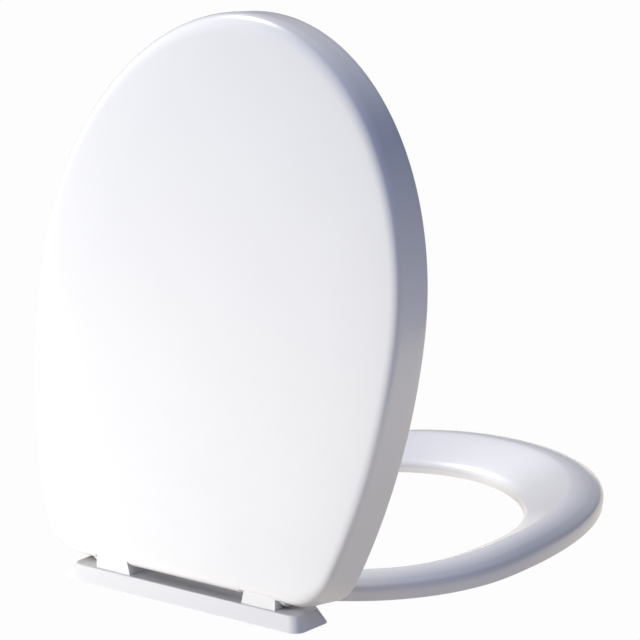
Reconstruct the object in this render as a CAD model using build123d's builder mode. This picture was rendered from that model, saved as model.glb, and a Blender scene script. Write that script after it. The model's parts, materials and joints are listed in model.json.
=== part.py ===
"""Moulded toilet seat in millimetres: a deep lid standing raised, a lowered ring and a one-piece hinge bar.

The origin lies on the underside of the hinge bar, midway between its two fixing slots.
X runs along the hinge, the tip of the ring points along -Y and Z is up.
"""

from build123d import *
import os
from math import cos, radians, sin, sqrt

# Hinge axis, and how far the lid stands open from closed
pin_y = 4.0
pin_z = 23.0
lid_angle = 78.0
pin_radius = 4.0
pin_chamfer = 0.8
press_clearance = 0.03
running_clearance = 0.06
side_clearance = 0.5

# Hinge bar: a hollow strip with sloped sides that carries two forked posts
bar_length = 240.0
bar_depth = 43.0
bar_rear = 24.0
bar_height = 12.0
bar_slope = 5.5
bar_corner = 9.0
bar_wall = 2.6
bar_edge_radius = 1.0
post_inner = 57.0
post_outer = 91.0
post_radius = 12.0
post_lean = 6.0
post_web = 2.5
fork_width = 18.0
well_floor = 6.0
slot_spacing = 155.0
slot_width = 8.5
slot_length = 14.0

# Lid: an egg-shaped cap whose skirt flares towards the rim
lid_width = 365.0
lid_length = 451.0
lid_widest = 218.0
lid_rear = 3.8
lid_face_height = 19.0
lid_rim_height = 2.0
lid_tip_drop = 2.5
lid_flare = 1.0
lid_rear_flare = 8.2
lid_corner = 45.0
lid_rim_corner = 50.0
lid_side_radius = 535.0
lid_wall = 3.0
lid_edge_radius = 9.0
lug_radius = 9.0
lug_thickness = 6.0
lug_root = 24.0
bar_notch_depth = 14.0
bar_notch_height = 17.0
middle_notch_height = 28.5
notch_clearance = 2.5

# Ring: a crowned channel, open underneath
ring_gap = 6.4
ring_rear = -26.0
ring_widest = -188.0
ring_corner = 150.0
ring_side_radius = 300.0
ring_bottom = 4.0
ring_outer_wall = 10.5
ring_haunch = 6.0
ring_haunch_rise = 7.0
ring_crest = 28.0
ring_inner_wall = 12.5
ring_inner_lift = 3.0
ring_outer_slope = 18.0
crest_width = 7.6
ring_wall = 3.0
crest_radius = 10.0
hole_width = 257.0
ring_rear_band = 60.0
ring_front_band = 84.3
hole_widest = -176.0
arm_bottom = 14.5
arm_top = 22.0
arm_root = 22.0

# Ribs across the ring's channel
rib_count = 7
rib_thickness = 2.0
rib_rise = 6.0

# Buffers under the ring and under the lid
ring_buffer_length = 30.0
ring_buffer_width = 14.0
lid_buffer_radius = 5.0
lid_boss_drop = 2.0
buffer_edge_radius = 1.0
buffer_rest_gap = 0.3
buffer_boss_wall = 2.0
front_buffer_turn = 42.0
rear_buffer_turn = 132.0
lid_buffer_turn = 60.0

bar_middle = bar_rear - bar_depth / 2
post_top = pin_z + post_radius
fork_inner = slot_spacing / 2 - fork_width / 2
lug_inner = post_outer + side_clearance
lug_outer = lug_inner + lug_thickness
pin_start = post_inner + post_lean
sides = {"left": -1, "right": 1}

lid_boss_height = lid_face_height - lid_wall - lid_tip_drop - lid_boss_drop
ring_tip = pin_y + lid_rear - lid_length + ring_gap
hole_rear = ring_rear - ring_rear_band
hole_front = ring_tip + ring_front_band
ring_inner_slope = lid_width / 2 - ring_gap - hole_width / 2 - ring_outer_slope - crest_width

# The lid is drawn in its closed place about the hinge axis and turned open by its plane
lid_plane = Plane(
    origin=(0, pin_y, pin_z),
    x_dir=(1, 0, 0),
    z_dir=(0, sin(radians(lid_angle)), cos(radians(lid_angle))),
)
lid_axis = Axis((0, 0, 0), lid_plane.z_dir)


def ring_middle(turn):
    """Point on the middle line of the ring, by its turn from the tip about the widest place."""
    half_width = (lid_width / 2 - ring_gap + hole_width / 2) / 2
    end = (ring_tip + hole_front) / 2 if abs(turn) < 90 else (ring_rear + hole_rear) / 2
    reach = abs(end - ring_widest)
    return half_width * sin(radians(turn)), ring_widest - reach * cos(radians(turn))


ring_buffer_names = []
ring_buffer_places = []
for end, turn in (("front", front_buffer_turn), ("rear", rear_buffer_turn)):
    for name, hand in sides.items():
        ring_buffer_names.append(f"{end}_{name}")
        ring_buffer_places.append((*ring_middle(hand * turn), hand * turn))
lid_buffer_places = [ring_middle(hand * lid_buffer_turn) for hand in sides.values()]


def lid_section(x):
    """Plane across the lid at x, with its axes towards the lid's rear and its outer face."""
    return Plane(origin=lid_plane.from_local_coords((x, 0, 0)), x_dir=lid_plane.y_dir, z_dir=(1, 0, 0))


def lid_level(height, drop):
    """Plane over the lid at a height above the hinge axis, from the rear edge and falling to the tip."""
    rear = lid_plane.from_local_coords((0, lid_rear, height))
    tip = lid_plane.from_local_coords((0, lid_rear - lid_length, height - drop))
    return Plane(origin=rear, x_dir=(1, 0, 0), z_dir=Vector(1, 0, 0).cross(rear - tip))


def egg(plane, half_width, rear, widest, tip, corner, side):
    """Egg outline: straight rear edge, corner and side arcs, and half an ellipse to the tip."""
    reach = sqrt((side - corner) ** 2 - (rear - corner - widest) ** 2)
    corner_x = half_width - side + reach
    join_x = corner_x + corner * reach / (side - corner)
    join_y = rear - corner + corner * (rear - corner - widest) / (side - corner)
    with BuildSketch(plane) as outline:
        with BuildLine():
            Line((-corner_x, rear), (corner_x, rear))
            for hand in sides.values():
                turn = TangentArc((hand * corner_x, rear), (hand * join_x, join_y), tangent=(hand, 0))
                TangentArc((hand * join_x, join_y), (hand * half_width, widest), tangent=turn % 1)
            EllipticalCenterArc((0, widest), half_width, widest - tip, start_angle=180, arc_size=180)
        make_face()
    return outline.sketch


def lid_egg(plane, inset, rear, corner):
    """The lid's outline on a plane from its rear edge, with its rear moved out, inset all round."""
    return egg(
        plane,
        lid_width / 2 - inset,
        rear - inset,
        -lid_widest,
        inset - lid_length,
        corner - inset,
        lid_side_radius - inset,
    )


def ring_egg(height, inset):
    """The ring's outline, inset all round. It lies inside the rim of the closed lid."""
    return egg(
        Plane.XY.offset(height),
        lid_width / 2 - ring_gap - inset,
        ring_rear - inset,
        ring_widest,
        ring_tip + inset,
        ring_corner - inset,
        ring_side_radius - inset,
    )


def hole_oval(height, outset):
    """The ring's opening, widened all round: two half ellipses that meet at its widest place."""
    half_width = hole_width / 2 + outset
    rear_reach = hole_rear - hole_widest + outset
    front_reach = hole_widest - hole_front + outset
    with BuildSketch(Plane.XY.offset(height)) as outline:
        with BuildLine():
            EllipticalCenterArc((0, hole_widest), half_width, rear_reach, start_angle=0, arc_size=180)
            EllipticalCenterArc((0, hole_widest), half_width, front_reach, start_angle=180, arc_size=180)
        make_face()
    return outline.sketch


def ring_form(wall):
    """Crowned ring, or with a wall the space inside it that leaves that thickness all round."""
    low = ring_bottom - wall
    high = ring_crest - wall
    shoulder = low + ring_outer_wall
    haunch = ring_egg(shoulder + ring_haunch_rise, ring_haunch + wall / 2)
    lip = low + ring_inner_wall
    with BuildPart() as form:
        extrude(ring_egg(low, wall), amount=ring_outer_wall)
        loft([ring_egg(shoulder, wall), haunch, ring_egg(high, ring_outer_slope)], ruled=True)
        extrude(hole_oval(low, wall), amount=ring_crest, mode=Mode.SUBTRACT)
        loft([hole_oval(lip, wall), hole_oval(high, ring_inner_slope)], ruled=True, mode=Mode.SUBTRACT)
    return form


with BuildPart() as hinge_bar:
    for z, inset in ((0, 0), (bar_height, bar_slope)):
        with BuildSketch(Plane.XY.offset(z)):
            with Locations((0, bar_middle)):
                RectangleRounded(bar_length - 2 * inset, bar_depth - 2 * inset, bar_corner)
    loft(ruled=True)
    fillet(hinge_bar.faces().sort_by(Axis.Z)[-1].edges(), bar_edge_radius)
    for z, inset in ((0, bar_wall), (bar_height - bar_wall, bar_slope + bar_wall)):
        with BuildSketch(Plane.XY.offset(z)):
            with Locations((0, bar_middle)):
                RectangleRounded(bar_length - 2 * inset, bar_depth - 2 * inset, bar_corner - bar_wall)
    loft(ruled=True, mode=Mode.SUBTRACT)
    for hand in sides.values():
        with BuildSketch(Plane.YZ.offset(hand * post_inner)):
            with Locations((pin_y, pin_z)):
                Circle(post_radius)
            with Locations((pin_y, pin_z / 2)):
                Rectangle(2 * post_radius, pin_z)
        extrude(amount=hand * (post_outer - post_inner))
        with BuildSketch(Plane.XZ):
            Polygon(
                (hand * post_inner, bar_height),
                (hand * (post_inner + post_lean), post_top),
                (hand * post_inner, post_top),
                align=None,
            )
        extrude(amount=bar_depth, both=True, mode=Mode.SUBTRACT)
        with BuildSketch(Plane.XY.offset(well_floor)):
            with Locations((hand * slot_spacing / 2, pin_y - post_web / 2)):
                Rectangle(fork_width, 2 * post_radius - post_web)
        extrude(amount=post_top, mode=Mode.SUBTRACT)
        with BuildSketch():
            with Locations((hand * slot_spacing / 2, 0)):
                SlotOverall(slot_length, slot_width)
        extrude(amount=well_floor, mode=Mode.SUBTRACT)
        with BuildSketch(Plane.YZ.offset(hand * post_inner)):
            with Locations((pin_y, pin_z)):
                Circle(pin_radius + press_clearance)
        extrude(amount=hand * (post_outer - post_inner), mode=Mode.SUBTRACT)

lid_rim = lid_level(lid_rim_height - pin_z, 0)
lid_ceiling = lid_face_height - lid_wall

with BuildPart() as lid_inside:
    roof = lid_level(lid_ceiling, lid_tip_drop)
    mouth = lid_egg(lid_rim, lid_wall, lid_rear_flare, lid_rim_corner)
    loft([mouth, lid_egg(roof, lid_flare + lid_wall, 0, lid_corner)], ruled=True)
    top = lid_inside.faces().sort_by(lid_axis)[-1]
    fillet(top.edges(), lid_edge_radius - lid_wall)
    for x, y in lid_buffer_places:
        with BuildSketch(lid_plane.offset(lid_boss_height)):
            with Locations((x, y - pin_y)):
                Circle(lid_buffer_radius + buffer_boss_wall)
        extrude(amount=lid_ceiling - lid_boss_height, mode=Mode.SUBTRACT)

with BuildPart() as lid:
    face = lid_egg(lid_level(lid_face_height, lid_tip_drop), lid_flare, 0, lid_corner)
    loft([lid_egg(lid_rim, 0, lid_rear_flare, lid_rim_corner), face], ruled=True)
    top = lid.faces().sort_by(lid_axis)[-1]
    fillet(top.edges(), lid_edge_radius)
    add(lid_inside.part, mode=Mode.SUBTRACT)
    # The rear skirt stops above the bar and higher up between the posts
    for notch_width, notch_height in (
        (bar_length + 2 * notch_clearance, bar_notch_height),
        (2 * post_inner, middle_notch_height),
    ):
        with BuildSketch(lid_plane.offset(lid_rim_height - pin_z)):
            with Locations((0, lid_rear)):
                Rectangle(notch_width, 2 * bar_notch_depth)
        extrude(amount=notch_height, mode=Mode.SUBTRACT)
    # At each post only the outer face is left
    for hand in sides.values():
        with BuildSketch(lid_plane.offset(lid_rim_height - pin_z)):
            with Locations((hand * (post_inner + post_outer) / 2, lid_rear)):
                Rectangle(post_outer - post_inner + 2 * side_clearance, 2 * lid_edge_radius)
        extrude(amount=lid_ceiling - lid_rim_height + pin_z, mode=Mode.SUBTRACT)
    for hand in sides.values():
        with BuildSketch(lid_section(hand * lug_inner)):
            Circle(lug_radius)
            with Locations((lid_rear - lug_root / 2, lid_ceiling)):
                Rectangle(lug_root, lid_wall)
            make_hull()
        extrude(amount=hand * lug_thickness)
        with BuildSketch(lid_section(hand * lug_inner)):
            Circle(pin_radius + running_clearance)
        extrude(amount=hand * lug_thickness, mode=Mode.SUBTRACT)

with BuildPart() as ring_inside:
    add(ring_form(ring_wall).part)
    # Bosses over the buffers and ribs across the channel are left standing
    for x, y, turn in ring_buffer_places:
        with BuildSketch(Plane.XY.offset(ring_bottom - ring_wall)):
            with Locations(Location((x, y, 0), (0, 0, turn))):
                SlotOverall(
                    ring_buffer_length + 2 * buffer_boss_wall,
                    ring_buffer_width + 2 * buffer_boss_wall,
                )
        extrude(amount=ring_crest, mode=Mode.SUBTRACT)
    with BuildSketch(Plane.XY.offset(ring_bottom - ring_wall + rib_rise)):
        with Locations((0, ring_widest)):
            with PolarLocations(0, rib_count, start_angle=90 / rib_count):
                Rectangle(lid_length, rib_thickness)
    extrude(amount=ring_crest, mode=Mode.SUBTRACT)

with BuildPart() as seat_ring:
    add(ring_form(0).part)
    crest = seat_ring.faces().sort_by(Axis.Z)[-1]
    fillet(crest.edges(), crest_radius)
    add(ring_inside.part, mode=Mode.SUBTRACT)
    # The wall round the opening ends higher than the outer wall
    extrude(hole_oval(ring_bottom, 2 * ring_wall), amount=ring_inner_lift, mode=Mode.SUBTRACT)
    for hand in sides.values():
        with BuildSketch(Plane.YZ.offset(hand * (fork_inner + side_clearance))):
            with Locations((pin_y, pin_z)):
                Circle(lug_radius)
            with Locations((ring_rear - arm_root / 2, (arm_bottom + arm_top) / 2)):
                Rectangle(arm_root, arm_top - arm_bottom)
            make_hull()
        extrude(amount=hand * (fork_width - 2 * side_clearance))
        with BuildSketch(Plane.YZ.offset(hand * fork_inner)):
            with Locations((pin_y, pin_z)):
                Circle(pin_radius + running_clearance)
        extrude(amount=hand * fork_width, mode=Mode.SUBTRACT)

os.makedirs("parts", exist_ok=True)
for name, piece in {"hinge_bar": hinge_bar, "lid": lid, "seat_ring": seat_ring}.items():
    piece.part.label = name
    export_step(piece.part, f"parts/{name}.step")

for name, hand in sides.items():
    with BuildPart() as hinge_pin:
        with BuildSketch(Plane.YZ.offset(hand * pin_start)):
            with Locations((pin_y, pin_z)):
                Circle(pin_radius)
        extrude(amount=hand * (lug_outer - pin_start))
        chamfer(hinge_pin.edges(), pin_chamfer)
    hinge_pin.part.label = f"hinge_pin_{name}"
    export_step(hinge_pin.part, f"parts/hinge_pin_{name}.step")

for name, (x, y, turn) in zip(ring_buffer_names, ring_buffer_places):
    with BuildPart() as ring_buffer:
        with BuildSketch():
            with Locations(Location((x, y, 0), (0, 0, turn))):
                SlotOverall(ring_buffer_length, ring_buffer_width)
        extrude(amount=ring_bottom)
        fillet(ring_buffer.faces().sort_by(Axis.Z)[0].edges(), buffer_edge_radius)
    ring_buffer.part.label = f"ring_buffer_{name}"
    export_step(ring_buffer.part, f"parts/ring_buffer_{name}.step")

for name, (x, y) in zip(sides, lid_buffer_places):
    with BuildPart() as lid_buffer:
        with BuildSketch(lid_plane.offset(ring_crest + buffer_rest_gap - pin_z)):
            with Locations((x, y - pin_y)):
                Circle(lid_buffer_radius)
        extrude(amount=lid_boss_height + pin_z - ring_crest - buffer_rest_gap)
        fillet(lid_buffer.faces().sort_by(lid_axis)[0].edges(), buffer_edge_radius)
    lid_buffer.part.label = f"lid_buffer_{name}"
    export_step(lid_buffer.part, f"parts/lid_buffer_{name}.step")
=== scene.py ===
"""White moulded toilet seat: its lid, ring, hinge bar and buffers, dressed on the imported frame.

Lengths are in metres. X runs along the hinge, the ring's tip points along -Y and Z is up.
"""

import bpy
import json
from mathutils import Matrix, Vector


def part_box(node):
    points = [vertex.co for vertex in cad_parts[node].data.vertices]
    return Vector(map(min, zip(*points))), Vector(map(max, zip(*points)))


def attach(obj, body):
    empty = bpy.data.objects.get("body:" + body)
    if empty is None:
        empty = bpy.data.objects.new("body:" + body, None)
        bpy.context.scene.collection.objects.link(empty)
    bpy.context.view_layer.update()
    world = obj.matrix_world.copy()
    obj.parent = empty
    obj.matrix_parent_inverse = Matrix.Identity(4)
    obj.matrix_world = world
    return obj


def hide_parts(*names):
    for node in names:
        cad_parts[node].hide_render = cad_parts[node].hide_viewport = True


bl_info = {
    "name": "Moulded Toilet Seat",
    "version": (1, 0, 0),
    "blender": (4, 5, 0),
    "location": "View3D > Sidebar > Toilet Seat",
    "description": "Builds the surfaces, finishes and studio of a moulded toilet seat",
    "category": "Add Mesh",
}

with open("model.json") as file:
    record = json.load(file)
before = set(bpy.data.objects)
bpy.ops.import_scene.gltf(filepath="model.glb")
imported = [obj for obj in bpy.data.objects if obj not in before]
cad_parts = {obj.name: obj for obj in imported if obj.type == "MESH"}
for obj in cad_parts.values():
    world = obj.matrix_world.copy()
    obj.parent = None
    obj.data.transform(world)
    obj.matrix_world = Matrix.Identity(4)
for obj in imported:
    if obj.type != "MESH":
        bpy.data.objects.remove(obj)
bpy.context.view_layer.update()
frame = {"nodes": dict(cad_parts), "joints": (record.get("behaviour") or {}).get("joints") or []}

import json
import math

import bmesh
import bpy
import numpy as np
from bpy.props import FloatProperty, FloatVectorProperty, IntProperty, PointerProperty
from mathutils import Matrix, Vector

JOINTS = {joint["name"]: joint for joint in frame["joints"]}
HINGE = np.array(JOINTS["lid_hinge"]["pos_m"])
LID_OPEN = math.radians(-JOINTS["lid_hinge"]["range_deg"][0])
LID_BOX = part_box("lid")
RING_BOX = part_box("seat_ring")
RING_BUFFERS = [name for name in frame["nodes"] if name.startswith("ring_buffer")]
LID_BUFFERS = [name for name in frame["nodes"] if name.startswith("lid_buffer")]
HINGE_PINS = [name for name in frame["nodes"] if name.startswith("hinge_pin")]
PICTURE_PIXELS = 640
PIXELS_PER_METRE = 1252.3


def length(name, default, description):
    """A length property in metres."""
    return FloatProperty(name=name, default=default, description=description, unit="LENGTH", precision=4)


def angle_in_degrees(name, degrees, description):
    """An angle property, given in degrees."""
    return FloatProperty(name=name, default=math.radians(degrees), description=description, subtype="ANGLE")


def tint(name, default, description):
    """A linear colour property."""
    return FloatVectorProperty(
        name=name, default=default, description=description, subtype="COLOR", size=3, min=0.0, max=1.0
    )


def lamp_way(name, degrees, description):
    """Property for the way to a lamp: a turn from +Y towards +X and a height, as angles."""
    return FloatVectorProperty(
        name=name, default=[math.radians(d) for d in degrees], size=2, subtype="EULER", unit="ROTATION",
        description=description,
    )


class SeatLidSizes(bpy.types.PropertyGroup):
    """Sizes of the lid, measured as it lies closed."""

    width: length("Width", LID_BOX[1].x - LID_BOX[0].x, "Width across the widest place")
    reach: length("Length", 0.451, "Length from the rear edge to the tip")
    widest: length("Widest place", 0.218, "Distance of the widest place from the rear edge")
    rear: length("Rear edge", 0.0038, "How far the rear edge lies behind the hinge axis")
    corner: length("Rear corner", 0.045, "Radius of the two rear corners at the face")
    rim_corner: length("Rear corner of the rim", 0.050, "Radius of the two rear corners at the rim")
    rear_flare: length("Rear flare", 0.0082, "How far the rear of the rim lies behind the rear of the face")
    side: length("Side radius", 0.535, "Radius of the long sides behind the widest place")
    face: length("Face height", 0.019, "Height of the face above the hinge axis at the rear edge")
    rim: length("Rim depth", 0.021, "Depth of the rim below the hinge axis")
    tip_drop: length("Tip drop", 0.0025, "How far the face falls from the rear edge to the tip")
    draft: length("Draft", 0.001, "How far the skirt leans in from the rim to the face")
    wall: length("Wall", 0.003, "Thickness of the moulding")
    crown: length("Crown", 0.0015, "How far the face falls towards its edge")
    crown_reach: length("Crown reach", 0.06, "Width of the band over which the face falls")
    edge: length("Edge rounding", 0.0085, "Rounding between the face and the skirt along the sides")
    tip_edge: length("Tip rounding", 0.016, "Rounding between the face and the skirt at the tip")
    rim_edge: length("Rim rounding", 0.0012, "Rounding of the rim")
    bar_gap: length("Gap over the bar", 0.004, "Depth of the rear rim below the hinge axis, over the bar")
    middle_gap: length(
        "Gap between the posts", 0.0075, "Height of the skirt's edge above the hinge axis, between the posts"
    )
    bar_half: length("Half of the bar gap", 0.1225, "Half the width of the gap over the bar")
    post_inner: length("Inner side of a post gap", 0.0565, "Inner end of the gap over a post along X")
    post_outer: length("Outer side of a post gap", 0.0915, "Outer end of the gap over a post along X")
    lug: length("Lug thickness", 0.006, "Thickness of a hinge lug")
    lug_radius: length("Lug radius", 0.009, "Radius of a hinge lug about the pin")
    lug_root: length("Lug root", 0.024, "Length of a lug along the inside of the face")
    boss: length("Boss wall", 0.002, "How far a boss stands out round its buffer")


class SeatRingSizes(bpy.types.PropertyGroup):
    """Sizes of the ring as it lies lowered."""

    width: length("Width", 0.350, "Width across the widest place")
    rear: length("Rear edge", -0.026, "Place of the rear edge along Y")
    tip: length("Tip", RING_BOX[0].y, "Place of the tip along Y")
    widest: length("Widest place", -0.1831, "Place of the widest place along Y")
    corner: length("Rear corner", 0.1547, "Radius of the two rear corners")
    side: length("Side radius", 0.220, "Radius of the long sides behind the widest place")
    fullness: FloatProperty(
        name="Fullness", default=2.157, min=1.5, max=5.0,
        description="Exponent of the front curve of the outline: 2 is an ellipse and more is fuller",
    )
    bottom: length("Bottom", RING_BOX[0].z, "Height of the lower edge")
    crest: length("Crest", 0.028, "Height of the crest")
    shoulder: length("Shoulder", 0.0145, "Height of the outer edge of the crown")
    lip: length("Lip", 0.0150, "Height of the inner edge of the crown")
    inner_lift: length(
        "Inner lift", 0.003, "How much higher the wall round the opening ends than the outer wall"
    )
    wall: length("Wall", 0.003, "Thickness of the moulding")
    hole_width: length("Hole width", 0.2545, "Width of the opening")
    hole_rear: length("Hole rear", -0.079, "Place of the rear of the opening along Y")
    hole_front: length("Hole front", -0.3505, "Place of the front of the opening along Y")
    hole_widest: length("Hole widest place", -0.214, "Place of the opening's widest place along Y")
    hole_rear_fullness: FloatProperty(
        name="Rear fullness of the hole", default=3.0, min=1.5, max=5.0,
        description="Exponent of the rear curve of the opening",
    )
    hole_front_fullness: FloatProperty(
        name="Front fullness of the hole", default=1.9, min=1.5, max=5.0,
        description="Exponent of the front curve of the opening",
    )
    crest_share: FloatProperty(
        name="Crest place", default=0.42, min=0.1, max=0.9,
        description="Place of the crest across the ring, from the outer edge to the opening",
    )
    crest_fall: length("Crest fall", 0.004, "How much lower the crest lies towards the hinge")
    outer_roundness: FloatProperty(
        name="Outer roundness", default=2.0, min=1.0, max=6.0,
        description="Exponent of the crown outside the crest",
    )
    inner_roundness: FloatProperty(
        name="Inner roundness", default=1.15, min=1.0, max=6.0,
        description="Exponent of the crown inside the crest",
    )
    draft: length("Outer draft", 0.0015, "How far the outer wall leans in at its lower edge")
    lip_edge: length("Lip rounding", 0.009, "Rounding between the crown and the wall round the opening")
    edge: length("Shoulder rounding", 0.006, "Rounding between the crown and the outer wall")
    arm_inner: length("Inner side of an arm", 0.069, "Inner side of a hinge arm along X")
    arm_outer: length("Outer side of an arm", 0.086, "Outer side of a hinge arm along X")
    arm_radius: length("Arm radius", 0.009, "Radius of a hinge arm about the pin")
    arm_bottom: length("Arm bottom", 0.0145, "Lower edge of an arm where it meets the ring")
    arm_top: length("Arm top", 0.022, "Upper edge of an arm where it meets the ring")
    arm_root: length("Arm root", 0.022, "Length of an arm inside the ring")
    ribs: IntProperty(name="Ribs", default=14, min=0, description="Ribs under the crown")
    rib: length("Rib thickness", 0.002, "Thickness of a rib")
    rib_bottom: length("Rib bottom", 0.007, "Height of the lower edge of the ribs")
    boss: length("Boss wall", 0.002, "How far a boss stands out round its buffer")


class SeatHingeSizes(bpy.types.PropertyGroup):
    """Sizes at the hinge pins."""

    bore: length("Bore", 0.00406, "Radius of the bores that turn on the pins")
    bevel: length("Bevel", 0.0006, "Bevel of lugs and arms")


class SeatFinish(bpy.types.PropertyGroup):
    """Colours and gloss of the pieces."""

    plastic: tint("Plastic", (0.86, 0.86, 0.865), "Colour of the white moulded plastic")
    pin: tint("Pins", (0.78, 0.78, 0.79), "Colour of the hinge pins")
    rubber: tint("Buffers", (0.74, 0.74, 0.73), "Colour of the rubber buffers")
    gloss: FloatProperty(
        name="Roughness", default=0.26, min=0.0, max=1.0, description="Roughness of the white plastic"
    )


class SeatStage(bpy.types.PropertyGroup):
    """Camera and studio."""

    turn: angle_in_degrees("Turn", 38.78, "Turn of the camera from +Y towards -X, behind the lid")
    rise: angle_in_degrees("Rise", 16.87, "Angle of the camera above the floor")
    roll: angle_in_degrees("Roll", -0.713, "Roll of the camera about its view")
    distance: length("Distance", 6.9655, "Distance of the camera from its aim")
    aim: FloatVectorProperty(
        name="Aim", default=(-0.00520, -0.15189, 0.19412), subtype="TRANSLATION", unit="LENGTH", precision=5,
        description="Point in the middle of the picture",
    )
    view_height: length("View height", PICTURE_PIXELS / PIXELS_PER_METRE, "Height of the picture at the aim")
    floor: length("Floor", 14.0, "Side of the square floor")
    backdrop: tint("Backdrop", (0.982, 0.982, 0.982), "Colour of floor and background in the picture")
    floor_light: FloatProperty(
        name="Floor light", default=1.2, min=0.0, description="Strength of the floor's light"
    )
    floor_near: tint("Floor under the seat", (0.47, 0.44, 0.43), "Colour of the floor's light close by")
    floor_band: tint("Floor round the seat", (0.98, 0.91, 0.78), "Colour of the floor's light round the seat")
    floor_far: tint("Floor far off", (0.05, 0.09, 0.25), "Colour of the floor's light far from the seat")
    floor_middle: FloatVectorProperty(
        name="Floor middle", default=(-0.16, -0.04, 0.0), subtype="TRANSLATION", unit="LENGTH",
        description="Middle of the floor's light",
    )
    key_way: lamp_way("Key light", (104, 52), "Turn from +Y towards +X, and height, of the main lamp")
    key_power: FloatProperty(
        name="Key light power", default=3.0, min=0.0, description="Strength of the main lamp"
    )
    key_colour: tint("Key light colour", (0.95, 0.93, 0.93), "Colour of the main lamp")
    softness: angle_in_degrees("Softness", 10, "Angle across the main lamp")
    front_way: lamp_way(
        "Front panel", (35, 1), "Turn from +Y towards +X, and height, of the panel that lights the lid's face"
    )
    front_power: FloatProperty(
        name="Front panel power", default=47.0, min=0.0, unit="POWER", description="Power of the panel"
    )
    front_colour: tint("Front panel colour", (1.0, 1.0, 0.99), "Colour of the panel")
    front_distance: length("Front panel distance", 2.2, "Distance of the panel from its aim")
    panel_size: length("Panel size", 0.3, "Side of the square panel")
    panel_aim: FloatVectorProperty(
        name="Panel aim", default=(0.0, -0.03, 0.14), subtype="TRANSLATION", unit="LENGTH",
        description="Point that the panel faces",
    )
    sky_way: lamp_way("Sky", (-72, 55), "Turn from +Y towards +X, and height, of the middle of the cool sky")
    sky_spread: angle_in_degrees("Sky spread", 48, "Angle from the sky's middle to its end")
    sky_colour: tint("Sky colour", (0.49, 0.58, 0.92), "Colour of the cool sky")


class SeatSettings(bpy.types.PropertyGroup):
    """All settings of the toilet seat."""

    lid: PointerProperty(type=SeatLidSizes)
    ring: PointerProperty(type=SeatRingSizes)
    hinge: PointerProperty(type=SeatHingeSizes)
    finish: PointerProperty(type=SeatFinish)
    stage: PointerProperty(type=SeatStage)


MERGE = 1e-6
SHARP = math.radians(33)
EGG_STEPS = {"corner": 22, "side": 26, "front": 60}
ROUND_STEPS = 12
LID_COLUMNS = {"middle": 16, "post": 12, "outer": 6, "bar": 5, "ease": 14}
COLUMN_STEP = 0.0002
CORNER_TRIALS = 200
FACE_INSET = 0.030
FACE_ROWS = 5
RIM_ROWS = 4
SPINE_ROWS = 9
SPINE_SHARE = 0.5
LEAST_EDGE = 0.002
LID_BOSS_SIDES = 40
RING_BOSS_SIDES = 48
BOSS_BEVEL = 0.0005
RING_REAR_STEPS = 40
CROWN_ENDS = (0.15, 0.79)
CROWN_ROWS = (16, 12)
FOOT_EDGE = 0.0008
HOLLOW_EDGES = {"foot": 0.0005, "lip": 0.003, "shoulder": 0.001}
RIB_TRIALS = 600
RIB_ROWS = 24
MIX_SOCKETS = {"a": 6, "b": 7, "result": 2}
NOISES = (("tone", 14.0, 2.0), ("polish", 70.0, 4.0), ("wave", 160.0, 2.0))
NOISE_MIDDLE = 0.5
FINE_DETAIL = 3.0
FINE_SHARE = 0.35
BUMP_DISTANCE = 0.0002
PLASTIC_IOR = 1.49
COAT_ROUGHNESS = 0.08
FLOOR_BANDS = (0.15, 0.5, 0.8, 1.0)
FAR_LAMP = 3.0


def quads(rows, columns, wrap_rows=False):
    """Faces between neighbouring points of a grid whose columns close on themselves."""
    row = np.arange(rows if wrap_rows else rows - 1)
    r, c = np.meshgrid(row, np.arange(columns), indexing="ij")
    below, beside = (r + 1) % rows, (c + 1) % columns
    corners = (r * columns + c, r * columns + beside, below * columns + beside, below * columns + c)
    return np.stack(corners, -1).reshape(-1, 4)


def build_piece(name, shells, material, body, node):
    """One object from several grids of points: doubles merged, normals outwards, sharp edges by angle."""
    points, faces, start = [], [], 0
    for grid, wrap_rows in shells:
        rows, columns = grid.shape[:2]
        points.append(grid.reshape(-1, 3))
        faces.append(quads(rows, columns, wrap_rows) + start)
        start += rows * columns
    mesh = bpy.data.meshes.new(name)
    mesh.from_pydata(np.concatenate(points).tolist(), [], np.concatenate(faces).tolist())
    work = bmesh.new()
    work.from_mesh(mesh)
    bmesh.ops.remove_doubles(work, verts=work.verts, dist=MERGE)
    bmesh.ops.recalc_face_normals(work, faces=work.faces)
    work.to_mesh(mesh)
    work.free()
    mesh.shade_smooth()
    mesh.set_sharp_from_angle(angle=SHARP)
    mesh.materials.append(material)
    piece = bpy.data.objects.new(name, mesh)
    bpy.context.scene.collection.objects.link(piece)
    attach(piece, body)
    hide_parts(node)
    return piece


def node_points(node):
    """All points of a CAD node at rest."""
    mesh = frame["nodes"][node].data
    flat = np.empty(len(mesh.vertices) * 3, np.float32)
    mesh.vertices.foreach_get("co", flat)
    return flat.reshape(-1, 3).astype(float)


def mirrored(half):
    """A whole outline from its half on +X: the half from rear to tip, then its mirror image back."""
    back = half[-2:0:-1]
    if half.ndim == 2:
        back = back * [-1, 1]
    return np.concatenate([half, back])


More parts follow.
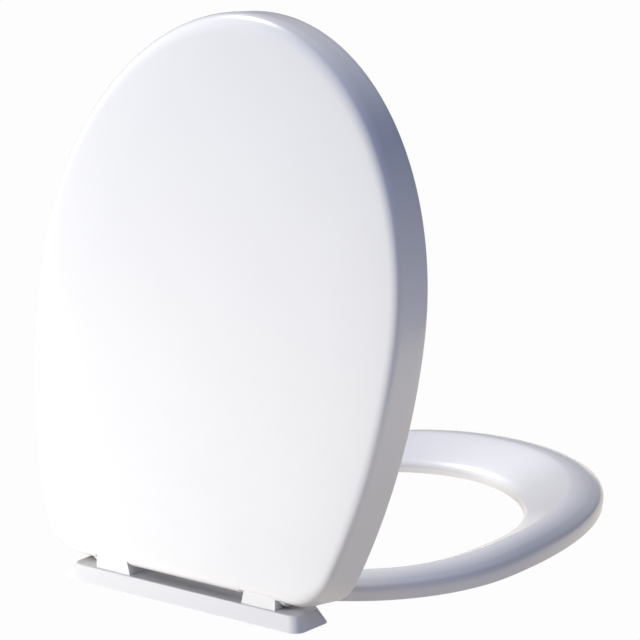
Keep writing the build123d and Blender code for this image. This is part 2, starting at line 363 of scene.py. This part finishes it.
def egg_half(width, rear, widest, tip, corner, side, rear_x, corner_share, fullness=2.0):
    """Half an egg from the rear to the tip: a straight rear edge, an arc round the rear corner, an arc
    along the side and a quarter of a superellipse |x / a|^n + |y / b|^n = 1, n being the fullness.
    Returns the points and, for each, the direction in which an inset outline moves, so that
    point + inset * direction lies on the inset outline."""
    half = width / 2
    offset = math.sqrt((side - corner) ** 2 - (rear - corner - widest) ** 2)
    centre = np.array([half - side + offset, rear - corner])
    low = math.atan2(centre[1] - widest, centre[0] - half + side)
    straight = np.stack([rear_x * centre[0], np.full_like(rear_x, rear)], -1)
    angles = np.pi / 2 + (low - np.pi / 2) * corner_share
    turn = np.stack([np.cos(angles), np.sin(angles)], -1)
    angles = np.linspace(low, 0, EGG_STEPS["side"])[1:]
    flank = np.stack([np.cos(angles), np.sin(angles)], -1)
    angles = np.linspace(0, -np.pi / 2, EGG_STEPS["front"])[1:]
    front = np.stack([np.cos(angles), np.sin(angles)], -1)
    bow = np.sign(front) * np.abs(front) ** (2 / fullness)
    points = [
        straight,
        centre + corner * turn,
        [half - side, widest] + side * flank,
        [0, widest] + bow * [half, widest - tip],
    ]
    inward = [np.tile([0.0, -1.0], (len(rear_x), 1)), -turn, -flank, -front]
    return np.concatenate(points), np.concatenate(inward)


def hull_outline(centre, radius, corners, directions=96):
    """Outline round a circle and a few corners: in each direction, the point that lies furthest out."""
    angles = np.linspace(0, 2 * np.pi, directions, endpoint=False)
    ways = np.stack([np.cos(angles), np.sin(angles)], -1)
    points = np.concatenate([centre + radius * ways, corners])
    return points[np.argmax(points @ ways.T, axis=0)]


def bored_plate(outline, centre, bore, start, stop, bevel):
    """Plate between two places along X with a round bore: rows run from the bore over one bevelled face,
    the rim and the other face back to the bore. Returns X and the two coordinates of the outline's plane."""
    away = outline - centre
    way = away / np.linalg.norm(away, axis=1, keepdims=True)
    hole, inner = centre + bore * way, outline - bevel * way
    flat = np.stack([hole, inner, outline, outline, inner, hole])
    step = math.copysign(bevel, stop - start)
    x = np.array([start, start, start + step, stop - step, stop, stop])
    return np.concatenate([np.broadcast_to(x[:, None, None], flat.shape[:2] + (1,)), flat], -1)


def column_shell(outline, bottom, top, bevel):
    """Upright column: its outline at the bottom, drawn in to a point and bevelled, and again at the top."""
    middle = outline.mean(0)
    inner = outline + (middle - outline) * bevel / np.linalg.norm(outline - middle, axis=1, keepdims=True)
    point = np.broadcast_to(middle, outline.shape)
    flat = np.stack([point, inner, outline, outline, point])
    level = np.stack([np.broadcast_to(z, len(outline)) for z in (bottom, bottom, bottom + bevel, top, top)])
    return np.concatenate([flat, level[..., None]], -1)


def lid_to_world(local):
    """Points of the closed lid about its hinge axis, turned open about that axis."""
    x, y, z = local[..., 0], local[..., 1], local[..., 2]
    c, s = math.cos(LID_OPEN), math.sin(LID_OPEN)
    return HINGE + np.stack([x, y * c + z * s, z * c - y * s], -1)


def world_to_lid(points):
    """The closed lid's coordinates about its hinge axis for points in their open place."""
    x, y, z = (points - HINGE).T
    c, s = math.cos(LID_OPEN), math.sin(LID_OPEN)
    return np.stack([x, y * c - z * s, y * s + z * c], -1)


def lid_columns(lid):
    """Columns of the lid: its outline at the face and the way in from there, its outline at the rim, and the
    height where each column ends: low all round, raised over the bar and more between the posts, and cut back
    to the inside of the face at each post. Neighbouring columns on both sides of these steps stand close
    together. Beyond the bar the end eases down to the rim as r^2 * (3 - 2 * r), with r from 1 to 0."""
    straight = lid.width / 2 - lid.side
    straight += math.sqrt((lid.side - lid.corner) ** 2 - (lid.widest - lid.corner) ** 2)

    def outlines(rear_x, corner_share):
        """Outlines of face and rim over the same columns, with the way in from the face's outline."""
        face, inward = egg_half(
            lid.width, 0.0, -lid.widest, -lid.reach, lid.corner, lid.side, rear_x, corner_share
        )
        rim, _ = egg_half(
            lid.width, lid.rear_flare, -lid.widest, -lid.reach, lid.rim_corner, lid.side, rear_x, corner_share
        )
        return face + lid.draft * inward, inward, rim

    x = np.concatenate([
        np.linspace(0, lid.post_inner - COLUMN_STEP, LID_COLUMNS["middle"]),
        np.linspace(lid.post_inner + COLUMN_STEP, lid.post_outer - COLUMN_STEP, LID_COLUMNS["post"]),
        np.linspace(lid.post_outer + COLUMN_STEP, straight, LID_COLUMNS["outer"]),
    ])
    trial = np.linspace(0, 1, CORNER_TRIALS)
    face, _, rim = outlines(x[:1], trial)
    depth = (lid.face + lid.bar_gap) / (lid.face + lid.rim)
    across = (face + depth * (rim - face))[1 : CORNER_TRIALS + 1, 0]
    share, slack = np.interp(lid.bar_half, across, trial), COLUMN_STEP / lid.corner
    corner = np.concatenate([
        np.linspace(0, share - slack, LID_COLUMNS["bar"] + 1)[1:],
        np.linspace(share + slack, 1, EGG_STEPS["corner"]),
    ])
    face, inward, rim = outlines(x / straight, corner)
    end = np.full(len(face), -lid.rim)
    middle, post, _, bar, eased = np.cumsum(list(LID_COLUMNS.values()))
    rise = np.linspace(1, 0, LID_COLUMNS["ease"])
    end[bar:eased] += (lid.rim - lid.bar_gap) * rise**2 * (3 - 2 * rise)
    end[:bar] = -lid.bar_gap
    end[:middle] = lid.middle_gap
    end[middle:post] = lid.face - lid.crown - lid.wall
    return mirrored(face), mirrored(inward), mirrored(rim), mirrored(end)


def lid_shell(lid):
    """The lid as one closed surface over the columns of its outline and the rows of its section.

    Over an inset d from the outline and a share t of the edge's rounding r, the outer height is
    face - drop(y) - crown * (1 - d / crown_reach)^2 - r * t^2 with d = r * (1 - t)^2 on the rounding.
    The inner surface follows it one wall further in."""
    points, inward, rim_points, rim = lid_columns(lid)
    tipward = np.clip(inward[:, 1], 0, 1) ** 2
    edge = lid.edge + (lid.tip_edge - lid.edge) * tipward
    inner_edge = np.maximum(edge - lid.wall, LEAST_EDGE)
    cut = rim > 0
    rounding = np.where(cut, 0, lid.rim_edge)

    def fall(inset):
        """How far the crown has fallen at an inset."""
        return lid.crown * np.clip(1 - inset / lid.crown_reach, 0, 1) ** 2

    def height(y, inset):
        """Height of the outer face at a place along the lid and an inset."""
        return lid.face + lid.tip_drop * y / lid.reach - fall(inset)

    def skirt(inset, level):
        """Points at an inset and a level, on the straight line from the face's outline to the rim's."""
        depth = np.clip((lid.face - level) / (lid.face + lid.rim), 0, 1)[..., None]
        flat = points + depth * (rim_points - points) + inset[..., None] * inward
        return np.concatenate([flat, level[..., None]], -1)

    def edge_rows(wall, radius):
        """Insets and points of the rows from the flat face over the rounding to where the rim cuts it."""
        flat = np.linspace(FACE_INSET - wall, radius, FACE_ROWS)[:-1]
        top = height(points[:, 1], 0.0) - wall
        last = np.sqrt(np.clip((top - rim - rounding) / radius, 0, 1))
        share = np.linspace(0, 1, ROUND_STEPS)[:, None] * last
        inset = wall + np.concatenate([flat, radius * (1 - share) ** 2])
        t = np.concatenate([np.zeros_like(flat), share])
        y = points[:, 1] + inset * inward[:, 1]
        return inset, skirt(inset, height(y, inset) - wall - radius * t**2)

    outer_inset, outer = edge_rows(0.0, edge)
    inner_inset, inner = edge_rows(lid.wall, inner_edge)
    inset_outer, inset_inner = outer_inset[-1], inner_inset[-1]
    share = np.linspace(0, 1, RIM_ROWS)[1:, None]
    drop_outer = outer[-1, :, 2] + share * (rim + rounding - outer[-1, :, 2])
    drop_inner = inner[-1, :, 2] + share * (rim + rounding - inner[-1, :, 2])
    bend = np.linspace(0, np.pi / 2, RIM_ROWS)[1:, None]
    rim_outer = skirt(inset_outer + rounding * (1 - np.cos(bend)), rim + rounding * (1 - np.sin(bend)))
    rim_inner = skirt(inset_inner - rounding * (1 - np.cos(bend)), rim + rounding * (1 - np.sin(bend)))
    section = np.concatenate([
        outer,
        skirt(np.broadcast_to(inset_outer, drop_outer.shape), drop_outer),
        rim_outer,
        rim_inner[::-1],
        skirt(np.broadcast_to(inset_inner, drop_inner.shape), drop_inner)[::-1],
        inner[::-1],
    ])

    def to_spine(row, wall):
        """Rows from an inset outline in to the spine, a line along the middle of the face."""
        middle = -lid.reach / 2
        spine = np.stack([np.zeros(len(row)), middle + (row[:, 1] - middle) * SPINE_SHARE], -1)
        share = np.linspace(1, 0, SPINE_ROWS)[:-1, None, None]
        flat = row[:, :2] + share * (spine - row[:, :2])
        inset = FACE_INSET + np.linalg.norm(flat - row[:, :2], axis=-1)
        return np.concatenate([flat, (height(flat[..., 1], inset) - wall)[..., None]], -1)

    section = np.concatenate([to_spine(section[0], 0.0), section, to_spine(section[-1], lid.wall)[::-1]])
    section[..., 1] += lid.rear
    return lid_to_world(section)


def lid_lug(lid, hinge, hand):
    """A lug: a plate round the pin that widens to a root on the inside of the face."""
    top = lid.face - lid.crown - lid.wall / 2
    root = np.array([[lid.rear - lid.lug_root, top], [lid.rear - lid.edge / 2, top]])
    outline = hull_outline(np.zeros(2), lid.lug_radius, root)
    start = hand * lid.post_outer
    stop = start + hand * lid.lug
    return lid_to_world(bored_plate(outline, np.zeros(2), hinge.bore, start, stop, hinge.bevel))


def lid_boss(lid, node):
    """A round boss on the inside of the face that holds a buffer."""
    points = world_to_lid(node_points(node))
    low, high = points.min(0), points.max(0)
    middle, radius = (low + high) / 2, (high[0] - low[0]) / 2
    angles = np.linspace(0, 2 * np.pi, LID_BOSS_SIDES, endpoint=False)
    outline = middle[:2] + (radius + lid.boss) * np.stack([np.cos(angles), np.sin(angles)], -1)
    top = lid.face + lid.tip_drop * middle[1] / lid.reach - lid.wall / 2
    return lid_to_world(column_shell(outline, high[2], top, BOSS_BEVEL))


class RingShape:
    """The ring in plan and height about the middle of its opening: its outer edge and its opening are
    distances from there by angle, and its crown is a height over the band between them."""

    def __init__(self, ring):
        self.ring = ring
        self.middle = np.array([0.0, ring.hole_widest])
        rear_x = np.linspace(0, 1, RING_REAR_STEPS)
        corner = np.linspace(0, 1, RING_REAR_STEPS)[1:]
        half, _ = egg_half(
            ring.width, ring.rear, ring.widest, ring.tip, ring.corner, ring.side, rear_x, corner,
            ring.fullness,
        )
        away = mirrored(half) - self.middle
        angles = np.arctan2(away[:, 1], away[:, 0])
        order = np.argsort(angles)
        self.angles, self.radii = angles[order], np.linalg.norm(away, axis=1)[order]

    def outer(self, angle):
        """Distance of the outer edge, read along the egg outline."""
        return np.interp(angle, self.angles, self.radii, period=2 * np.pi)

    def hole(self, angle):
        """Distance of the opening's edge: half a superellipse |x / a|^n + |y / b|^n = 1 to the rear and
        another to the front, so the distance is (|cos / a|^n + |sin / b|^n)^(-1 / n)."""
        ring = self.ring
        to_rear = np.sin(angle) > 0
        depth = np.where(to_rear, ring.hole_rear - ring.hole_widest, ring.hole_widest - ring.hole_front)
        power = np.where(to_rear, ring.hole_rear_fullness, ring.hole_front_fullness)
        across, along = np.abs(2 * np.cos(angle) / ring.hole_width), np.abs(np.sin(angle) / depth)
        return (across**power + along**power) ** (-1 / power)

    def crown(self, share, angle):
        """Height of the crown at a share of the band from the outer edge to the opening: two curves that meet
        level at the crest, one from the shoulder and one from the lip. The crest falls towards the hinge."""
        ring = self.ring
        crest = ring.crest - ring.crest_fall * np.sin(np.clip(angle, 0, np.pi))
        outer = np.clip(1 - share / ring.crest_share, 0, 1) ** ring.outer_roundness
        inner = np.clip((share - ring.crest_share) / (1 - ring.crest_share), 0, 1) ** ring.inner_roundness
        return crest - outer * (crest - ring.shoulder) - inner * (crest - ring.lip)

    def crown_at(self, flat):
        """Height of the crown over points of the plan."""
        away = flat - self.middle
        angle = np.arctan2(away[..., 1], away[..., 0])
        outer, hole = self.outer(angle), self.hole(angle)
        return self.crown((outer - np.linalg.norm(away, axis=-1)) / (outer - hole), angle)


def rounded(corners, reach):
    """Closed section with rounded corners: each corner p becomes (1 - t)^2 a + 2 t (1 - t) p + t^2 b,
    where a and b lie on the two sides at the corner's reach, or halfway along a shorter side."""
    rows = []
    t = np.linspace(0, 1, ROUND_STEPS // 2 + 1)[:, None, None]
    for index, far in enumerate(reach):
        corner = corners[index]
        if not far:
            rows.append(corner[None])
            continue
        ends = []
        for other in (corners[index - 1], corners[(index + 1) % len(corners)]):
            way = other - corner
            span = np.linalg.norm(way, axis=-1, keepdims=True)
            ends.append(corner + way * np.minimum(far / span, 0.5))
        rows.append((1 - t) ** 2 * ends[0] + 2 * t * (1 - t) * corner + t**2 * ends[1])
    return np.concatenate(rows)


def ring_shell(ring, shape, columns=288):
    """The ring as one closed channel: a section of walls and crown, and the same one wall further in,
    carried round the opening."""
    angle = np.linspace(-np.pi, np.pi, columns, endpoint=False)
    outer, hole = shape.outer(angle), shape.hole(angle)
    band = outer - hole

    def corner(share, shift, level):
        """Points at a share of the band, shifted towards the opening, at a level."""
        place = share * band + shift
        return np.stack([place, np.broadcast_to(level, place.shape)], -1)

    shares = np.concatenate([
        np.linspace(CROWN_ENDS[0], ring.crest_share, CROWN_ROWS[0]),
        np.linspace(ring.crest_share, CROWN_ENDS[1], CROWN_ROWS[1])[1:],
    ])
    wall, inner_bottom = ring.wall, ring.bottom + ring.inner_lift
    crowned = [(corner(share, 0, shape.crown(share, angle)), 0) for share in shares]
    hollow = [(corner(share, 0, shape.crown(share, angle) - wall), 0) for share in shares]
    outline = [
        (corner(0, ring.draft, ring.bottom), FOOT_EDGE),
        (corner(0, 0, ring.shoulder), ring.edge),
        *crowned,
        (corner(1, 0, ring.lip), ring.lip_edge),
        (corner(1, 0, inner_bottom), FOOT_EDGE),
        (corner(1, -wall, inner_bottom), HOLLOW_EDGES["foot"]),
        (corner(1, -wall, ring.lip - wall), HOLLOW_EDGES["lip"]),
        *hollow[::-1],
        (corner(0, wall, ring.shoulder - wall), HOLLOW_EDGES["shoulder"]),
        (corner(0, wall + ring.draft, ring.bottom), HOLLOW_EDGES["foot"]),
    ]
    corners, reach = zip(*outline)
    section = rounded(corners, reach)
    radius = outer - section[..., 0]
    x, y = radius * np.cos(angle), shape.middle[1] + radius * np.sin(angle)
    return np.stack([x, y, section[..., 1]], -1)


def ring_arm(ring, hinge, hand):
    """A hinge arm: a plate round the pin that runs into the rear of the ring."""
    centre = HINGE[1:]
    root = np.array([
        [ring.rear - ring.arm_root, ring.arm_bottom],
        [ring.rear - ring.arm_root, ring.arm_top],
        [ring.rear, ring.arm_bottom],
        [ring.rear, ring.arm_top],
    ])
    outline = hull_outline(centre, ring.arm_radius, root)
    return bored_plate(outline, centre, hinge.bore, hand * ring.arm_inner, hand * ring.arm_outer, hinge.bevel)


def ring_rib(ring, shape, angle):
    """A rib under the crown: a thin plate along a line from the widest place, between the two walls."""
    way = np.array([math.cos(angle), math.sin(angle)])
    along = np.linspace(0, ring.width, RIB_TRIALS)
    flat = np.array([0, ring.widest]) + along[:, None] * way
    away = flat - shape.middle
    turn, far = np.arctan2(away[:, 1], away[:, 0]), np.linalg.norm(away, axis=1)
    inside = (far > shape.hole(turn) + ring.wall / 2) & (far < shape.outer(turn) - ring.wall / 2)
    reach = np.linspace(along[inside].min(), along[inside].max(), RIB_ROWS)
    line = np.array([0, ring.widest]) + reach[:, None] * way
    top = shape.crown_at(line) - ring.wall / 2
    across = np.array([-way[1], way[0]]) * ring.rib / 2
    low = np.full_like(top, ring.rib_bottom)
    corners = [(line - across, low), (line + across, low), (line + across, top), (line - across, top)]
    grid = np.stack([np.concatenate([flat, level[:, None]], -1) for flat, level in corners], 1)
    ends = [np.broadcast_to(grid[end].mean(0), grid[:1].shape) for end in (0, -1)]
    return np.concatenate([ends[0], grid, ends[1]])


def ring_boss(ring, shape, node):
    """A boss over a buffer: the buffer's own outline, widened by the boss wall, up into the crown."""
    solid = node_points(node)
    points = solid[:, :2]
    middle = (points.min(0) + points.max(0)) / 2
    angles = np.linspace(0, 2 * np.pi, RING_BOSS_SIDES, endpoint=False)
    ways = np.stack([np.cos(angles), np.sin(angles)], -1)
    outline = points[np.argmax(points @ ways.T, axis=0)] + ring.boss * ways
    top = shape.crown_at(outline) - ring.wall / 2
    shell = column_shell(outline, solid[:, 2].max(), top, BOSS_BEVEL)
    shell[-1, :, 2] = shape.crown_at(middle) - ring.wall / 2
    return shell


def link(tree, source, output, target, field):
    """Joins an output of one node to an input of another."""
    tree.links.new(source.outputs[output], target.inputs[field])


def moulded_surface():
    """Node group of a moulded surface: a soft change of tone over centimetres, a roughness that wanders with
    polish marks and a fine waviness for the bump."""
    group = bpy.data.node_groups.new("moulded_surface", "ShaderNodeTree")
    sockets = (
        ("Vector", "INPUT", "NodeSocketVector"),
        ("Colour", "INPUT", "NodeSocketColor"),
        ("Shade", "INPUT", "NodeSocketColor"),
        ("Roughness", "INPUT", "NodeSocketFloat"),
        ("Wander", "INPUT", "NodeSocketFloat"),
        ("Grain", "INPUT", "NodeSocketFloat"),
        ("Colour", "OUTPUT", "NodeSocketColor"),
        ("Roughness", "OUTPUT", "NodeSocketFloat"),
        ("Height", "OUTPUT", "NodeSocketFloat"),
    )
    for name, way, kind in sockets:
        group.interface.new_socket(name, in_out=way, socket_type=kind)
    nodes = group.nodes
    start, end = nodes.new("NodeGroupInput"), nodes.new("NodeGroupOutput")
    noises = {}
    for name, scale, detail in NOISES:
        noise = nodes.new("ShaderNodeTexNoise")
        noise.inputs["Scale"].default_value = scale
        noise.inputs["Detail"].default_value = detail
        link(group, start, "Vector", noise, "Vector")
        noises[name] = noise
    fine = nodes.new("ShaderNodeTexNoise")
    fine.inputs["Detail"].default_value = FINE_DETAIL
    link(group, start, "Vector", fine, "Vector")
    link(group, start, "Grain", fine, "Scale")
    mix = nodes.new("ShaderNodeMix")
    mix.data_type = "RGBA"
    link(group, noises["tone"], "Fac", mix, "Factor")
    link(group, start, "Shade", mix, MIX_SOCKETS["a"])
    link(group, start, "Colour", mix, MIX_SOCKETS["b"])
    link(group, mix, MIX_SOCKETS["result"], end, "Colour")
    centred = nodes.new("ShaderNodeMath")
    centred.operation = "SUBTRACT"
    link(group, noises["polish"], "Fac", centred, 0)
    centred.inputs[1].default_value = NOISE_MIDDLE
    rough = nodes.new("ShaderNodeMath")
    rough.operation = "MULTIPLY_ADD"
    link(group, centred, 0, rough, 0)
    link(group, start, "Wander", rough, 1)
    link(group, start, "Roughness", rough, 2)
    link(group, rough, 0, end, "Roughness")
    height = nodes.new("ShaderNodeMath")
    height.operation = "MULTIPLY_ADD"
    link(group, fine, "Fac", height, 0)
    height.inputs[1].default_value = FINE_SHARE
    link(group, noises["wave"], "Fac", height, 2)
    link(group, height, 0, end, "Height")
    return group


def finish_material(name, colour, shade, roughness, wander, grain, bump, coat=0.0):
    """Material of one finish: the moulded surface drives colour, roughness and bump of a Principled shader.
    The shade is the share of the colour that is left where the tone is darkest."""
    group = bpy.data.node_groups.get("moulded_surface") or moulded_surface()
    material = bpy.data.materials.new(name)
    material.use_nodes = True
    tree = material.node_tree
    shader = tree.nodes["Principled BSDF"]
    place = tree.nodes.new("ShaderNodeTexCoord")
    surface = tree.nodes.new("ShaderNodeGroup")
    surface.node_tree = group
    surface.inputs["Colour"].default_value = (*colour, 1)
    surface.inputs["Shade"].default_value = (*[shade * c for c in colour], 1)
    surface.inputs["Roughness"].default_value = roughness
    surface.inputs["Wander"].default_value = wander
    surface.inputs["Grain"].default_value = grain
    relief = tree.nodes.new("ShaderNodeBump")
    relief.inputs["Strength"].default_value = bump
    relief.inputs["Distance"].default_value = BUMP_DISTANCE
    link(tree, place, "Object", surface, "Vector")
    link(tree, surface, "Colour", shader, "Base Color")
    link(tree, surface, "Roughness", shader, "Roughness")
    link(tree, surface, "Height", relief, "Height")
    link(tree, relief, "Normal", shader, "Normal")
    shader.inputs["IOR"].default_value = PLASTIC_IOR
    shader.inputs["Coat Weight"].default_value = coat
    shader.inputs["Coat Roughness"].default_value = COAT_ROUGHNESS
    return material


def white_plastic(finish):
    """The glossy white moulding of lid, ring and bar."""
    found = bpy.data.materials.get("white_plastic_finish")
    return found or finish_material(
        "white_plastic_finish", finish.plastic, shade=0.97, roughness=finish.gloss, wander=0.02, grain=500.0,
        bump=0.02, coat=0.2,
    )


def pin_plastic(finish):
    """The satin plastic of the hinge pins."""
    return finish_material(
        "pin_plastic_finish", finish.pin, shade=0.93, roughness=0.42, wander=0.12, grain=1500.0, bump=0.12
    )


def buffer_rubber(finish):
    """The matt rubber of the buffers."""
    return finish_material(
        "buffer_rubber_finish", finish.rubber, shade=0.9, roughness=0.72, wander=0.15, grain=2200.0, bump=0.3
    )


class SEAT_OT_lid(bpy.types.Operator):
    """Build the lid with its hinge lugs and the bosses over its buffers"""

    bl_idname = "seat.build_lid"
    bl_label = "Build Lid"

    def execute(self, context):
        seat = context.scene.toilet_seat
        shells = [(lid_shell(seat.lid), False)]
        shells += [(lid_lug(seat.lid, seat.hinge, hand), True) for hand in (-1, 1)]
        shells += [(lid_boss(seat.lid, node), False) for node in LID_BUFFERS]
        build_piece("lid_moulding", shells, white_plastic(seat.finish), "lid", "lid")
        return {"FINISHED"}


class SEAT_OT_ring(bpy.types.Operator):
    """Build the ring with its hinge arms, ribs and the bosses over its buffers"""

    bl_idname = "seat.build_ring"
    bl_label = "Build Ring"

    def execute(self, context):
        seat = context.scene.toilet_seat
        ring = seat.ring
        shape = RingShape(ring)
        turns = np.linspace(0, 2 * np.pi, ring.ribs, endpoint=False) + np.pi / max(ring.ribs, 1)
        shells = [(ring_shell(ring, shape), True)]
        shells += [(ring_arm(ring, seat.hinge, hand), True) for hand in (-1, 1)]
        shells += [(ring_rib(ring, shape, turn), False) for turn in turns]
        shells += [(ring_boss(ring, shape, node), False) for node in RING_BUFFERS]
        build_piece("ring_moulding", shells, white_plastic(seat.finish), "ring", "seat_ring")
        return {"FINISHED"}


def dress(node, material):
    """Gives a CAD node its finish."""
    slots = frame["nodes"][node].data.materials
    slots.clear()
    slots.append(material)


class SEAT_OT_hinge(bpy.types.Operator):
    """Finish the hinge bar and its pins"""

    bl_idname = "seat.finish_hinge"
    bl_label = "Finish Hinge"

    def execute(self, context):
        finish = context.scene.toilet_seat.finish
        dress("hinge_bar", white_plastic(finish))
        satin = pin_plastic(finish)
        for node in HINGE_PINS:
            dress(node, satin)
        return {"FINISHED"}


class SEAT_OT_buffers(bpy.types.Operator):
    """Finish the rubber buffers under the ring and the lid"""

    bl_idname = "seat.finish_buffers"
    bl_label = "Finish Buffers"

    def execute(self, context):
        rubber = buffer_rubber(context.scene.toilet_seat.finish)
        for node in RING_BUFFERS + LID_BUFFERS:
            dress(node, rubber)
        return {"FINISHED"}


def white_to_camera(tree, seen, unseen, target, field):
    """Shows one shader to the camera and another one to the light that reaches the object."""
    path = tree.nodes.new("ShaderNodeLightPath")
    mix = tree.nodes.new("ShaderNodeMixShader")
    tree.links.new(path.outputs["Is Camera Ray"], mix.inputs[0])
    tree.links.new(unseen.outputs[0], mix.inputs[1])
    tree.links.new(seen.outputs[0], mix.inputs[2])
    tree.links.new(mix.outputs[0], target.inputs[field])


def pale_floor(stage):
    """Floor: white to the camera; the object sees its light by the distance from the middle, dim close by,
    bright and warm round about and dim again far off."""
    half = stage.floor / 2
    corners = np.array([[-half, -half, 0], [half, -half, 0], [half, half, 0], [-half, half, 0]])
    mesh = bpy.data.meshes.new("floor")
    mesh.from_pydata(corners.tolist(), [], [(0, 1, 2, 3)])
    material = bpy.data.materials.new("pale_floor")
    material.use_nodes = True
    tree = material.node_tree
    tree.nodes.remove(tree.nodes["Principled BSDF"])
    white = tree.nodes.new("ShaderNodeEmission")
    white.inputs["Color"].default_value = (*stage.backdrop, 1)
    light = tree.nodes.new("ShaderNodeEmission")
    light.inputs["Strength"].default_value = stage.floor_light
    place = tree.nodes.new("ShaderNodeTexCoord")
    away = tree.nodes.new("ShaderNodeVectorMath")
    away.operation = "DISTANCE"
    away.inputs[1].default_value = stage.floor_middle
    bands = tree.nodes.new("ShaderNodeValToRGB")
    bands.color_ramp.elements.new(FLOOR_BANDS[1])
    bands.color_ramp.elements.new(FLOOR_BANDS[2])
    colours = (stage.floor_near, stage.floor_band, stage.floor_band, stage.floor_far)
    for element, distance, colour in zip(bands.color_ramp.elements, FLOOR_BANDS, colours):
        element.position = distance
        element.color = (*colour, 1)
    link(tree, place, "Object", away, 0)
    link(tree, away, "Value", bands, "Fac")
    link(tree, bands, "Color", light, "Color")
    white_to_camera(tree, white, light, tree.nodes["Material Output"], "Surface")
    mesh.materials.append(material)
    floor = bpy.data.objects.new("floor", mesh)
    bpy.context.scene.collection.objects.link(floor)


def direction(way):
    """Unit vector of a turn from +Y towards +X and a height."""
    turn, height = way
    return Vector((math.sin(turn) * math.cos(height), math.cos(turn) * math.cos(height), math.sin(height)))


def studio_world(stage):
    """World: white to the camera; the object sees darkness with a cool sky round one direction, whose
    strength is a smooth step of the cosine to that direction."""
    world = bpy.data.worlds.new("studio")
    bpy.context.scene.world = world
    world.use_nodes = True
    tree = world.node_tree
    white = tree.nodes["Background"]
    white.inputs["Color"].default_value = (*stage.backdrop, 1)
    sky = tree.nodes.new("ShaderNodeBackground")
    sky.inputs["Color"].default_value = (*stage.sky_colour, 1)
    place = tree.nodes.new("ShaderNodeTexCoord")
    cosine = tree.nodes.new("ShaderNodeVectorMath")
    cosine.operation = "DOT_PRODUCT"
    cosine.inputs[1].default_value = direction(stage.sky_way)
    fade = tree.nodes.new("ShaderNodeMapRange")
    fade.interpolation_type = "SMOOTHSTEP"
    fade.inputs["From Min"].default_value = math.cos(stage.sky_spread)
    link(tree, place, "Generated", cosine, 0)
    link(tree, cosine, "Value", fade, "Value")
    link(tree, fade, "Result", sky, "Strength")
    white_to_camera(tree, white, sky, tree.nodes["World Output"], "Surface")


def place_lamp(name, kind, way, distance, aim, power, colour):
    """A lamp at a distance along its way from the aim, facing the aim."""
    lamp = bpy.data.lights.new(name, kind)
    lamp.energy = power
    lamp.color = colour
    piece = bpy.data.objects.new(name, lamp)
    turned = (-direction(way)).to_track_quat("-Z", "Y").to_matrix().to_4x4()
    piece.matrix_world = Matrix.Translation(Vector(aim) + distance * direction(way)) @ turned
    bpy.context.scene.collection.objects.link(piece)
    return piece


def studio_lamps(stage):
    """A main lamp from far off, and a low panel facing the lid that doesn't show in the gloss."""
    key = place_lamp("key", "SUN", stage.key_way, FAR_LAMP, stage.aim, stage.key_power, stage.key_colour)
    key.data.angle = stage.softness
    panel = place_lamp(
        "panel", "AREA", stage.front_way, stage.front_distance, stage.panel_aim, stage.front_power,
        stage.front_colour,
    )
    panel.data.shape = "SQUARE"
    panel.data.size = stage.panel_size
    panel.visible_glossy = False


def photo_camera(stage):
    """Camera behind and above the hinge, turned and rolled as the settings say, and centred on the aim."""
    turn, rise = stage.turn, stage.rise
    back = Vector((-math.sin(turn) * math.cos(rise), math.cos(turn) * math.cos(rise), math.sin(rise)))
    right = Vector((-math.cos(turn), -math.sin(turn), 0))
    up = back.cross(right)
    c, s = math.cos(stage.roll), math.sin(stage.roll)
    right, up = c * right + s * up, c * up - s * right
    data = bpy.data.cameras.new("photo_camera")
    data.lens = data.sensor_width * stage.distance / stage.view_height
    camera = bpy.data.objects.new("photo_camera", data)
    place = Vector(stage.aim) + stage.distance * back
    camera.matrix_world = Matrix.Translation(place) @ Matrix((right, up, back)).transposed().to_4x4()
    bpy.context.scene.collection.objects.link(camera)
    bpy.context.scene.camera = camera


class SEAT_OT_stage(bpy.types.Operator):
    """Build the floor, the studio light and the camera"""

    bl_idname = "seat.build_stage"
    bl_label = "Build Stage"

    def execute(self, context):
        stage = context.scene.toilet_seat.stage
        pale_floor(stage)
        studio_world(stage)
        studio_lamps(stage)
        photo_camera(stage)
        context.scene.view_settings.view_transform = "Standard"
        return {"FINISHED"}


OPERATORS = (SEAT_OT_lid, SEAT_OT_ring, SEAT_OT_hinge, SEAT_OT_buffers, SEAT_OT_stage)


class SEAT_PT_panel(bpy.types.Panel):
    """Sidebar panel with the pieces and their settings"""

    bl_idname = "SEAT_PT_panel"
    bl_label = "Toilet Seat"
    bl_space_type = "VIEW_3D"
    bl_region_type = "UI"
    bl_category = "Toilet Seat"

    def draw(self, context):
        seat = context.scene.toilet_seat
        for operator in OPERATORS:
            self.layout.operator(operator.bl_idname)
        for group in (seat.lid, seat.ring, seat.hinge, seat.finish, seat.stage):
            box = self.layout.box()
            for field in group.__annotations__:
                box.prop(group, field)


CLASSES = (
    SeatLidSizes, SeatRingSizes, SeatHingeSizes, SeatFinish, SeatStage, SeatSettings,
    *OPERATORS, SEAT_PT_panel,
)


def register():
    """Registers the classes and the scene's settings."""
    for cls in CLASSES:
        bpy.utils.register_class(cls)
    bpy.types.Scene.toilet_seat = PointerProperty(type=SeatSettings)


def unregister():
    """Removes the settings and the classes."""
    del bpy.types.Scene.toilet_seat
    for cls in reversed(CLASSES):
        bpy.utils.unregister_class(cls)


def main():
    """Builds everything in order."""
    register()
    bpy.ops.seat.build_lid()
    bpy.ops.seat.build_ring()
    bpy.ops.seat.finish_hinge()
    bpy.ops.seat.finish_buffers()
    bpy.ops.seat.build_stage()


if __name__ == "__main__":
    main()
